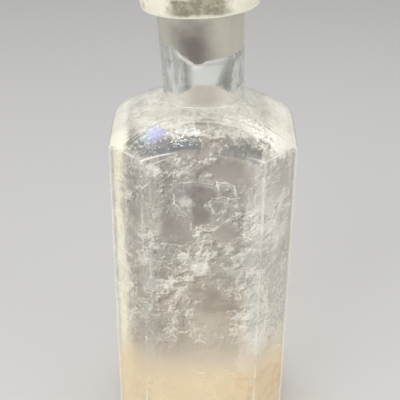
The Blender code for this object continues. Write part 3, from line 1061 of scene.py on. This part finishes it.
# %% The leaning neck's own height
def neck_place(w, place):
    """The place on the neck and lip, turned upright: the heights along the axis are true."""
    bend_radius = BEND_LENGTH / NECK_LEAN
    sine, cosine = math.sin(NECK_LEAN), math.cos(NECK_LEAN)
    foot = Vector((bend_radius * (cosine - 1), 0, NECK_FOOT + bend_radius * sine)) * 1000
    from_foot = w.vector("SUBTRACT", place, foot)
    across = w.vector("DOT_PRODUCT", from_foot, (cosine, 0, sine))
    up = w.vector("DOT_PRODUCT", from_foot, (-sine, 0, cosine))
    return across, w.axes(place)[1], up + (NECK_FOOT + BEND_LENGTH) * 1000


# %% [markdown]
# The outer face carries painted highlights along the crease of the dome, the upright edges and the
# foot of the neck. The dome's hips are cream painted light. On its left are a small painted blue and
# lilac sheen and a painted white glare, and the lip has an olive, mottled middle between cream sides
# of painted light, with a bright painted rim along its lower edge.

# %% Outer glass
LIP_FOOT = LIP_UNDERSIDE * 1000
PAINTED_SHEEN_PLACE = (-17.1, -23.9, 135.6)
# The painted glare of a lamp on the dome.
PAINTED_GLARE = (-5.0, -25.6, 4.8, 2.2)  # x and y of the middle in mm, half width, half depth
RIPPLE_DEPTH = 0.0007
OLIVE_DEEP = (0.28, 0.265, 0.20, 1)
OLIVE_PALE = (0.50, 0.465, 0.365, 1)
LIP_RIM_LIGHT = (0.98, 0.96, 0.86, 1)
PAINTED_GLARE_WHITE = (1.0, 1.0, 0.99, 1)
CLEAN_TINT = (0.94, 0.945, 0.93, 1)


def painted_edge_highlights(w, place, lie):
    """Painted highlights along the crease of the dome, down the eight upright edges and round the neck's
    foot.
    """
    highlight_breakup = w.fade(noise(w, place, 5.0, seed=8.5), 0.38, 0.58, 0.5, 1.0)
    highlight_breakup *= w.fade(abs(lie.x - 5.0), 10.0, 16.0, 0.3, 1.0)
    faded = w.fade(lie.wide, 25.5, 29.0, 1.0, 0.25)
    second = lie.crease + w.larger(lie.x * -1.0, 0.0) * 0.12
    lines = w.larger(line_at(w, lie.crease, 0.6), line_at(w, second, 0.45, 0.8)) * faded
    upright = line_at(w, lie.edge - 0.3, 0.55) * w.fade(lie.crease, 0.5, 0.0)
    stretched = w.vector("MULTIPLY", place, (1.0, 1.0, 0.3))
    upright *= w.fade(noise(w, stretched, 4.0, seed=8.6), 0.40, 0.56, 0.35, 1.0)
    lines = w.larger(lines, upright * w.fade(lie.z, 91.4, 119.3, 0.45, 1.0))
    side = line_at(w, lie.edge, 2.2) * w.fade(lie.wide, 29.5, 31.5) * w.fade(lie.crease, 1.0, 0.0)
    lines = w.larger(lines * highlight_breakup * w.fade(lie.z, 137.7, 133.0), side * 0.8)
    neck_foot = line_at(w, lie.z - (NECK_FOOT * 1000 + 0.5), 0.9)
    return w.larger(lines, neck_foot * w.fade(highlight_breakup, 0.4, 1.0, 0.35, 0.9))


def lip_finish(w, place):
    """Where the lip is, its colour, and how strong its haze is."""
    across, depth, up = neck_place(w, place)
    lip = w.fade(up, LIP_FOOT - 0.3, LIP_FOOT + 0.1)
    # A bright rim of painted light along the lip's lower round.
    rim = lip * w.fade(up, LIP_FOOT + 1.0, LIP_FOOT + 0.6)
    patchy = ragged(w, place, 3.5, 6.0, 8.7)
    olive = w.fade(abs(across) + patchy, 12.0, 7.0) * w.fade(depth, -8.0, -13.0)
    olive *= w.fade(up + patchy * 0.25, LIP_FOOT + 0.6, LIP_FOOT + 2.0, 0.15, 1.0)
    olive = w.larger(olive, w.fade(patchy, 0.4, 1.4) * 0.35)
    mottled = w.fade(noise(w, place, 2.0, detail=3.0, seed=8.8), 0.42, 0.60)
    # Cream sides of painted light round an olive, mottled middle.
    colour = mix(w, olive, CREAM_EDGE_LIGHT, mix(w, mottled, OLIVE_DEEP, OLIVE_PALE))
    colour = mix(w, rim, colour, LIP_RIM_LIGHT)
    return lip, colour, 0.8 + (rim * 0.1 - olive * 0.4)


def outer_glass():
    material, w, shader = glass_material("old_clear_glass")
    tone, colour, crust, lie, place, stain_and_edge_light, shade_streak = film_pattern(w)
    # Painted highlights along the crease, the upright edges and the neck's foot.
    edges = painted_edge_highlights(w, place, lie)
    haze = 0.04 + tone * 0.2 + crust * 0.13
    haze *= w.fade(lie.z, 140.7, 144.7, 1.0, 0.25)
    haze += edges * 0.55 + stain_and_edge_light * 0.14
    # The painted shade streak shows on the outer face too.
    haze += shade_streak * 0.3
    above = w.fade(lie.crease, 0.0, 1.0)
    # The dome's hips, towards the silhouette, get cream painted light.
    hips = above * w.fade(w.larger(lie.wide, lie.x + 4.0), 24.0, 29.0)
    haze += hips * 0.5
    colour = mix(w, hips * 0.55, colour, CREAM_EDGE_LIGHT)
    colour = mix(w, edges, colour, tones(w, 0.97))

    # A painted blue and lilac sheen on the dome's left, with painted white glints.
    from_painted_sheen = w.vector("LENGTH", w.vector("SUBTRACT", place, PAINTED_SHEEN_PLACE))
    torn = ragged(w, place, 2.4, 7.0, 8.2)
    painted_sheen = w.fade(from_painted_sheen + torn, 6.0, 2.5)
    painted_sheen_colour = mix(w, w.fade(lie.x, -20.0, -16.5), PAINTED_SKY_SHEEN, PAINTED_LILAC_SHEEN)
    painted_glint = w.fade(noise(w, place, 1.8, detail=1.0, seed=8.3), 0.50, 0.62)
    colour = mix(w, painted_sheen, colour, mix(w, painted_glint * 0.55, painted_sheen_colour, tones(w, 1.0)))
    # A painted white glare, the image of a lamp, low on the dome's front.
    painted_glare = ring(w, lie.x, lie.y, PAINTED_GLARE) + torn * 0.45
    painted_glare = w.fade(painted_glare, 1.15, 0.8) * above * (0.6 + painted_glint * 0.4)
    colour = mix(w, painted_glare, colour, PAINTED_GLARE_WHITE)
    haze = haze + painted_sheen * 0.42 + painted_glare * 0.6

    lip, lip_colour, lip_haze = lip_finish(w, place)
    colour = mix(w, lip, colour, lip_colour)
    haze = haze * (1.0 - lip) + lip * lip_haze
    haze = w.smaller(haze, 0.9)
    colour = mix(w, w.maths("MULTIPLY", haze, 2.4, clamp=True), CLEAN_TINT, colour)
    clear = 1.0 - haze

    smears = noise(w, place, 9.0, detail=4.0, seed=8.0)
    roughness = w.fade(smears, 0.35, 0.75, 0.02, 0.12)
    on_dome = w.fade(lie.crease, -0.5, 1.5)
    ripple = noise(w, place, 6.0, seed=9.0)
    ripple += noise(w, place, 1.8, seed=10.0) * (0.15 + on_dome * 0.65)
    bump = w.out("ShaderNodeBump", {"Height": ripple, "Strength": 0.5, "Distance": RIPPLE_DEPTH})
    w.fill(shader, {"Base Color": colour, "Transmission Weight": clear, "Roughness": roughness,
                    "Normal": bump})
    return material


# %% [markdown]
# Inside the neck the bore is ground to a satin for as far down as the stopper once sat, darker in
# the middle with painted shade of the dark plug seen through it. Its lower edge is ragged, with a
# white rim on the left.
# Below it the glass is fire-polished, with dark streaks of painted shade where the dark is seen
# refracted through it, a bluish white veil, and at the neck's foot it is smooth and beige.

# %% Inner glass
GROUND_EDGE = 156.1
# Painted shade in the middle of the satin.
PAINTED_SHADE_MIDDLE = (-2.2, 161.5, 8.6, 15.5)  # across and up in mm, half width, half height
STREAKS_END = 148.0
SATIN_LIGHT = (0.555, 0.528, 0.462, 1)
SATIN_SHADED = (0.125, 0.100, 0.085, 1)
VEIL_WHITE = (0.64, 0.665, 0.66, 1)
# Painted shade: the dark streaks in the neck.
STREAK_SHADE_DARK = (0.21, 0.215, 0.205, 1)


def ground_bore(w, place):
    """Where the satin is, its colour, and the white rim at its lower edge."""
    across, depth, up = neck_place(w, place)
    left = w.smaller(w.larger(-2.4 - across, 0.0), 5.2)
    edge = GROUND_EDGE + left * 0.9 + w.fade(across, -1.0, 1.4, 0.0, 1.2)
    above = up - (edge + ragged(w, place, 4.0, 1.6, 11.0))
    ground = w.fade(above, 0.0, 0.4)
    rim = line_at(w, above + 0.9, 1.3) * w.fade(across, 2.0, -3.0, 0.25, 1.0)
    rim *= w.fade(across, -8.6, -6.8)
    cloudy = ragged(w, place, 7.0, 0.7, 13.0)
    # Darker in the middle and at the front: painted shade of the dark plug seen through the satin.
    shaded_middle = w.fade(ring(w, across, up, PAINTED_SHADE_MIDDLE) + cloudy, 1.16, 0.12)
    shaded_middle *= w.fade(depth, 0.0, -4.0, 0.5, 1.0)
    narrow = w.vector("MULTIPLY", place, (1.8, 1.0, 1.0))
    scratched = w.fade(noise(w, narrow, 2.0, detail=3.0, seed=13.5), 0.65, 0.73)
    satin = mix(w, shaded_middle, SATIN_LIGHT, SATIN_SHADED)
    return ground, rim, mix(w, scratched * 0.45, satin, tones(w, 0.9)), up


def streaked_neck(w, place):
    """The colour of the fire-polished part, with dark streaks of painted shade, and how strong they are."""
    across, depth, up = neck_place(w, place)
    slanted = across - w.fade(across, 0.0, 5.0) * ((up - 150.8) * 0.42)
    drifting = crinkled(w, w.point(slanted, depth, up * 0.2), 3.0, 0.9, 12.5)
    shade_streak = noise(w, drifting, 2.5, detail=3.0, roughness=0.55, seed=12.0)
    veil = w.fade(abs(slanted - 0.6), 6.6, 2.8) * w.fade(depth, 0.0, -4.0)
    veil *= w.fade(up, 147.4, 149.2)
    shade = w.larger(w.fade(shade_streak, 0.48, 0.62), veil * w.fade(shade_streak, 0.25, 0.45, 0.4, 1.0))
    shade = w.larger(shade, w.fade(across, -4.0, -7.0) * 0.45)
    return mix(w, shade, STREAK_SHADE_DARK, VEIL_WHITE), shade


def inner_glass():
    material, w, shader = glass_material("hazed_inner_glass")
    tone, colour, crust, _, place, stain_and_edge_light, shade_streak = film_pattern(w)
    ground, rim, satin, up = ground_bore(w, place)
    streaked, shade = streaked_neck(w, place)
    across = neck_place(w, place)[0]
    bowed = w.smaller(across * across, 60.0)
    low_end = STREAKS_END + 0.8 - bowed * 0.075
    low_end += ragged(w, place, 5.0, 3.0, 15.0, detail=2.0)
    neck = w.fade(up - low_end, -0.9, 0.9)
    foot = w.fade(up, NECK_FOOT * 1000 - 1.5, NECK_FOOT * 1000 + 0.5) * (1.0 - neck)
    finish = mix(w, foot, colour, tones(w, w.fade(abs(across), 2.0, 8.0, 0.45, 0.78)))
    finish = mix(w, neck, finish, streaked)
    finish = mix(w, ground, finish, satin)
    finish = mix(w, rim * 0.8, finish, tones(w, 0.92))

    cover = 0.52 + tone * 0.34 + (crust * 0.12 + stain_and_edge_light * 0.14)
    # The painted shade streak covers more of the glass.
    cover += shade_streak * 0.2
    cover = cover * (1.0 - neck) + (0.55 + shade * 0.25) * neck
    cover = cover * (1.0 - ground) + ground * 0.9
    cover = w.smaller(cover + rim * 0.3, 0.97)
    clear = 1.0 - cover
    rough = 0.1 + tone * 0.3
    w.fill(shader, {"Base Color": finish, "Transmission Weight": clear,
                    "Roughness": w.larger(rough, ground * 0.5), "Specular IOR Level": 0.1})
    return material


old_glass = outer_glass()
lined_glass = inner_glass()

# %% Blow the bottle
bottle = made_by("blown_bottle", outline, blown_skin_tree(), {
    "Profile": profile,
    "Columns": len(outer_line),
    "Rows": len(stations),
    "Softness": SOFTNESS,
    "Inner Softness": INNER_SOFTNESS,
    "Wave Size": WAVE_SIZE,
    "Neck Foot": NECK_FOOT,
    "Bend Length": BEND_LENGTH,
    "Lean": NECK_LEAN,
    "Seed": 3.0,
    "Outer Glass": old_glass,
    "Inner Glass": lined_glass,
})
drop_object(outline)
drop_object(profile)
report(bottle)
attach(bottle, "bottle")
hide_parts("bottle_body", "applied_lip")

# %% [markdown]
# The stopper is turned: a satin plug, ground to the taper of the bore, under a flat polished
# head. It is drawn as a half profile and spun round its own axis, which leans with the neck.

# %% Turn the stopper
PLUG_LENGTH = 0.0230
PLUG_TIP_ROUND = 0.0012
SHANK_LENGTH = 0.0026
SHANK_FILLET = 0.0024
HEAD_RADIUS = 0.0178
HEAD_THICKNESS = 0.0086
HEAD_ROUND = 0.0038
HEAD_CROWN = 0.0012
STOPPER_GAP = 0.0003
STOPPER_TURNS = 128


def plug_radius(height):
    return MOUTH_RADIUS + GRIND_SLOPE * height - STOPPER_GAP * math.hypot(1, GRIND_SLOPE)


def stopper_profile():
    """Points (r, z) from the middle of the head down to the middle of the plug's tip."""
    underside = SHANK_LENGTH + SHANK_FILLET
    top = underside + HEAD_THICKNESS
    rim = HEAD_RADIUS - HEAD_ROUND
    crown = (rim ** 2 + HEAD_CROWN ** 2) / (2 * HEAD_CROWN)
    spread = math.degrees(math.asin(rim / crown))
    shank = plug_radius(SHANK_LENGTH)
    tip = plug_radius(-PLUG_LENGTH)
    points = arc((0, top - crown), crown, 90, 90 - spread, 10)
    points += arc((rim, top - HEAD_CROWN - HEAD_ROUND), HEAD_ROUND, 90, 0, 10)[1:]
    points += arc((rim, underside + HEAD_ROUND), HEAD_ROUND, 0, -90, 10)
    points += arc((shank + SHANK_FILLET, SHANK_LENGTH), SHANK_FILLET, 90, 180, 8)
    points += between(points[-1], (tip, PLUG_TIP_ROUND - PLUG_LENGTH), 20)
    points += arc((tip - PLUG_TIP_ROUND, PLUG_TIP_ROUND - PLUG_LENGTH), PLUG_TIP_ROUND, 0, -90, 5)[1:]
    points += between(points[-1], (0, -PLUG_LENGTH), 4)
    return points


def lean(point):
    """Where the neck's bend puts a point that is above it."""
    bend_radius = BEND_LENGTH / NECK_LEAN
    straight = point[2] - NECK_FOOT - BEND_LENGTH
    sine, cosine = math.sin(NECK_LEAN), math.cos(NECK_LEAN)
    return Vector(((point[0] + bend_radius) * cosine - bend_radius - straight * sine, point[1],
                   NECK_FOOT + (point[0] + bend_radius) * sine + straight * cosine))


def turned_mesh(name, points, turns):
    """Spins a half profile into a closed mesh."""
    shape = bmesh.new()
    line = [shape.verts.new((r, 0, z)) for r, z in points]
    for a, b in zip(line, line[1:]):
        shape.edges.new((a, b))
    bmesh.ops.spin(shape, geom=shape.verts[:] + shape.edges[:], axis=(0, 0, 1), cent=(0, 0, 0),
                   steps=turns, angle=math.tau, use_merge=True)
    bmesh.ops.remove_doubles(shape, verts=shape.verts, dist=MERGE_DISTANCE)
    bmesh.ops.recalc_face_normals(shape, faces=shape.faces)
    mesh = mesh_from(name, shape)
    mesh.shade_smooth()
    return mesh


# %% Finish for the stopper
STOPPER_TINT = (0.93, 0.935, 0.915, 1)
PLUG_SATIN = (0.50, 0.48, 0.43, 1)
PLUG_WORN = (0.66, 0.64, 0.58, 1)


def stopper_glass():
    material, w, shader = glass_material("stopper_glass")
    place = object_place(w)
    z = w.axes(place)[2]
    border = z + noise(w, place, 2.0, seed=21.0) * 0.8
    ground = w.fade(border, LIP_TOP * 1000 + 3.2, LIP_TOP * 1000 + 2.2)
    wear = w.fade(noise(w, place, 4.0, detail=4.0, seed=22.0), 0.4, 0.7)
    satin = mix(w, wear, PLUG_SATIN, PLUG_WORN)
    w.fill(shader, {"Base Color": mix(w, ground, STOPPER_TINT, satin),
                    "Transmission Weight": 0.97 - ground * 0.55,
                    "Roughness": wear * 0.06 + ground * 0.42})
    return material


stopper = put_in_scene("glass_stopper", turned_mesh("glass_stopper", stopper_profile(), STOPPER_TURNS))
stopper.data.transform(Matrix.Translation(lean((0, 0, LIP_TOP))) @ Matrix.Rotation(-NECK_LEAN, 4, "Y"))
stopper.data.materials.append(stopper_glass())
report(stopper)
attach(stopper, "stopper")
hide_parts("stopper")

# %% [markdown]
# What was last in the bottle dried to a thin tan crust on its floor, deeper on the right, with
# a powdery surface. It keeps to the hollow's own outline, drawn in by the gap between the solids.

# %% Lay the crust
RESIDUE_GAP = 0.0003
RESIDUE_DEPTH = 0.0022
RESIDUE_DRIFT = 0.0016
RESIDUE_RINGS = 64
CRUMB_DEPTH = 0.0005
GRAIN_SIZE = 0.0022


def crust_height(x, y):
    """Deeper towards +X, where it dried last."""
    across = (x / (2 * HALF_WIDTH) + 0.5) ** 2
    return BASE_THICKNESS + RESIDUE_DEPTH + RESIDUE_DRIFT * across


def crust_surface():
    """Rings from the middle of the crust's top out to its edge, down its side and under it."""
    line = bevelled_square(INNER_HALF - RESIDUE_GAP, INNER_CORNER_LEG, INNER_EDGE_RADIUS - RESIDUE_GAP)
    heel = INNER_HEEL_RADIUS - RESIDUE_GAP
    bottom = BASE_THICKNESS + RESIDUE_GAP
    half = INNER_HALF - RESIDUE_GAP

    def inside_heel(height):
        """How far the hollow's rounded heel draws the outline in at a height."""
        dip = max(heel - (height - bottom), 0)
        return 1 - (heel - math.sqrt(max(heel ** 2 - dip ** 2, 0))) / half

    shape = bmesh.new()
    rings = []
    for ring in range(1, RESIDUE_RINGS + 1):
        share = ring / RESIDUE_RINGS
        points = []
        for p in line:
            x, y = p * share
            z = crust_height(x, y)
            edge = inside_heel(z)
            points.append((x * edge, y * edge, z - CRUMB_DEPTH * 0.5))
        rings.append([shape.verts.new(p) for p in points])
    for share in (0.75, 0.5, 0.25, 0.0):
        ring = []
        for p in line:
            z = bottom + (crust_height(*p) - CRUMB_DEPTH - bottom) * share
            edge = inside_heel(z)
            ring.append(shape.verts.new((p.x * edge, p.y * edge, z)))
        rings.append(ring)
    for a, b in zip(rings, rings[1:]):
        for i in range(len(line)):
            j = (i + 1) % len(line)
            shape.faces.new((a[i], a[j], b[j], b[i]))
    shape.faces.new(rings[-1])
    middle = shape.verts.new((0, 0, crust_height(0, 0) - CRUMB_DEPTH * 0.5))
    for i in range(len(line)):
        shape.faces.new((middle, rings[0][(i + 1) % len(line)], rings[0][i]))
    bmesh.ops.recalc_face_normals(shape, faces=shape.faces)
    return put_in_scene("crust_base", mesh_from("crust_base", shape))


# %% Geometry Nodes: crumble the crust
def crumbled_tree():
    tree = new_geometry_tree("crumbled_crust", [("Depth", "Float"), ("Grain Size", "Float"),
                                                ("Top", "Float"), ("Seed", "Float"), ("Crust", "Material")])
    w = Wiring(tree)
    given = w.outs("NodeGroupInput")
    place = w.out("GeometryNodeInputPosition")
    z = w.axes(place)[2]
    grains = w.out("ShaderNodeTexNoise",
                   {"Vector": place, "W": given["Seed"], "Scale": 1.0 / given["Grain Size"],
                    "Detail": 4.0, "Roughness": 0.65}, "Fac", noise_dimensions="4D")
    lifted = w.fade(z, given["Top"] - 0.0004, given["Top"])
    rise = (grains - 0.5) * (given["Depth"] * 2.0) * lifted
    moved = w.out("GeometryNodeSetPosition",
                  {"Geometry": given["Geometry"], "Offset": w.point(0.0, 0.0, rise)})
    w.node("NodeGroupOutput", {"Geometry": dressed(w, moved, given["Crust"])})
    return tree


CRUST_TAN = (0.66, 0.50, 0.31, 1)
CRUST_SAND = (0.80, 0.68, 0.50, 1)
CRUST_POWDER = (0.86, 0.78, 0.64, 1)
CRUST_SPECK = (0.30, 0.20, 0.11, 1)


def crust_material():
    material = bpy.data.materials.new("tan_crust")
    material.use_nodes = True
    w = Wiring(material.node_tree)
    shader = material.node_tree.nodes["Principled BSDF"]
    place = object_place(w)
    broad = w.fade(noise(w, place, 12.0, detail=3.0, seed=31.0), 0.35, 0.65)
    grain = w.fade(noise(w, place, 1.2, detail=4.0, seed=32.0), 0.35, 0.7)
    spots = w.fade(noise(w, place, 2.6, seed=33.0), 0.66, 0.74)
    colour = mix(w, broad, CRUST_TAN, CRUST_SAND)
    colour = mix(w, grain * 0.5, colour, CRUST_POWDER)
    colour = mix(w, spots * 0.7, colour, CRUST_SPECK)
    w.fill(shader, {"Base Color": colour, "Roughness": w.fade(grain, 0.0, 1.0, 0.75, 0.95)})
    return material


crust_base = crust_surface()
crust = made_by("dried_crust", crust_base, crumbled_tree(), {
    "Depth": CRUMB_DEPTH,
    "Grain Size": GRAIN_SIZE,
    "Top": BASE_THICKNESS + RESIDUE_DEPTH - CRUMB_DEPTH * 0.5,
    "Seed": 5.0,
    "Crust": crust_material(),
})
drop_object(crust_base)
report(crust)
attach(crust, "bottle")
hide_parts("dried_residue")
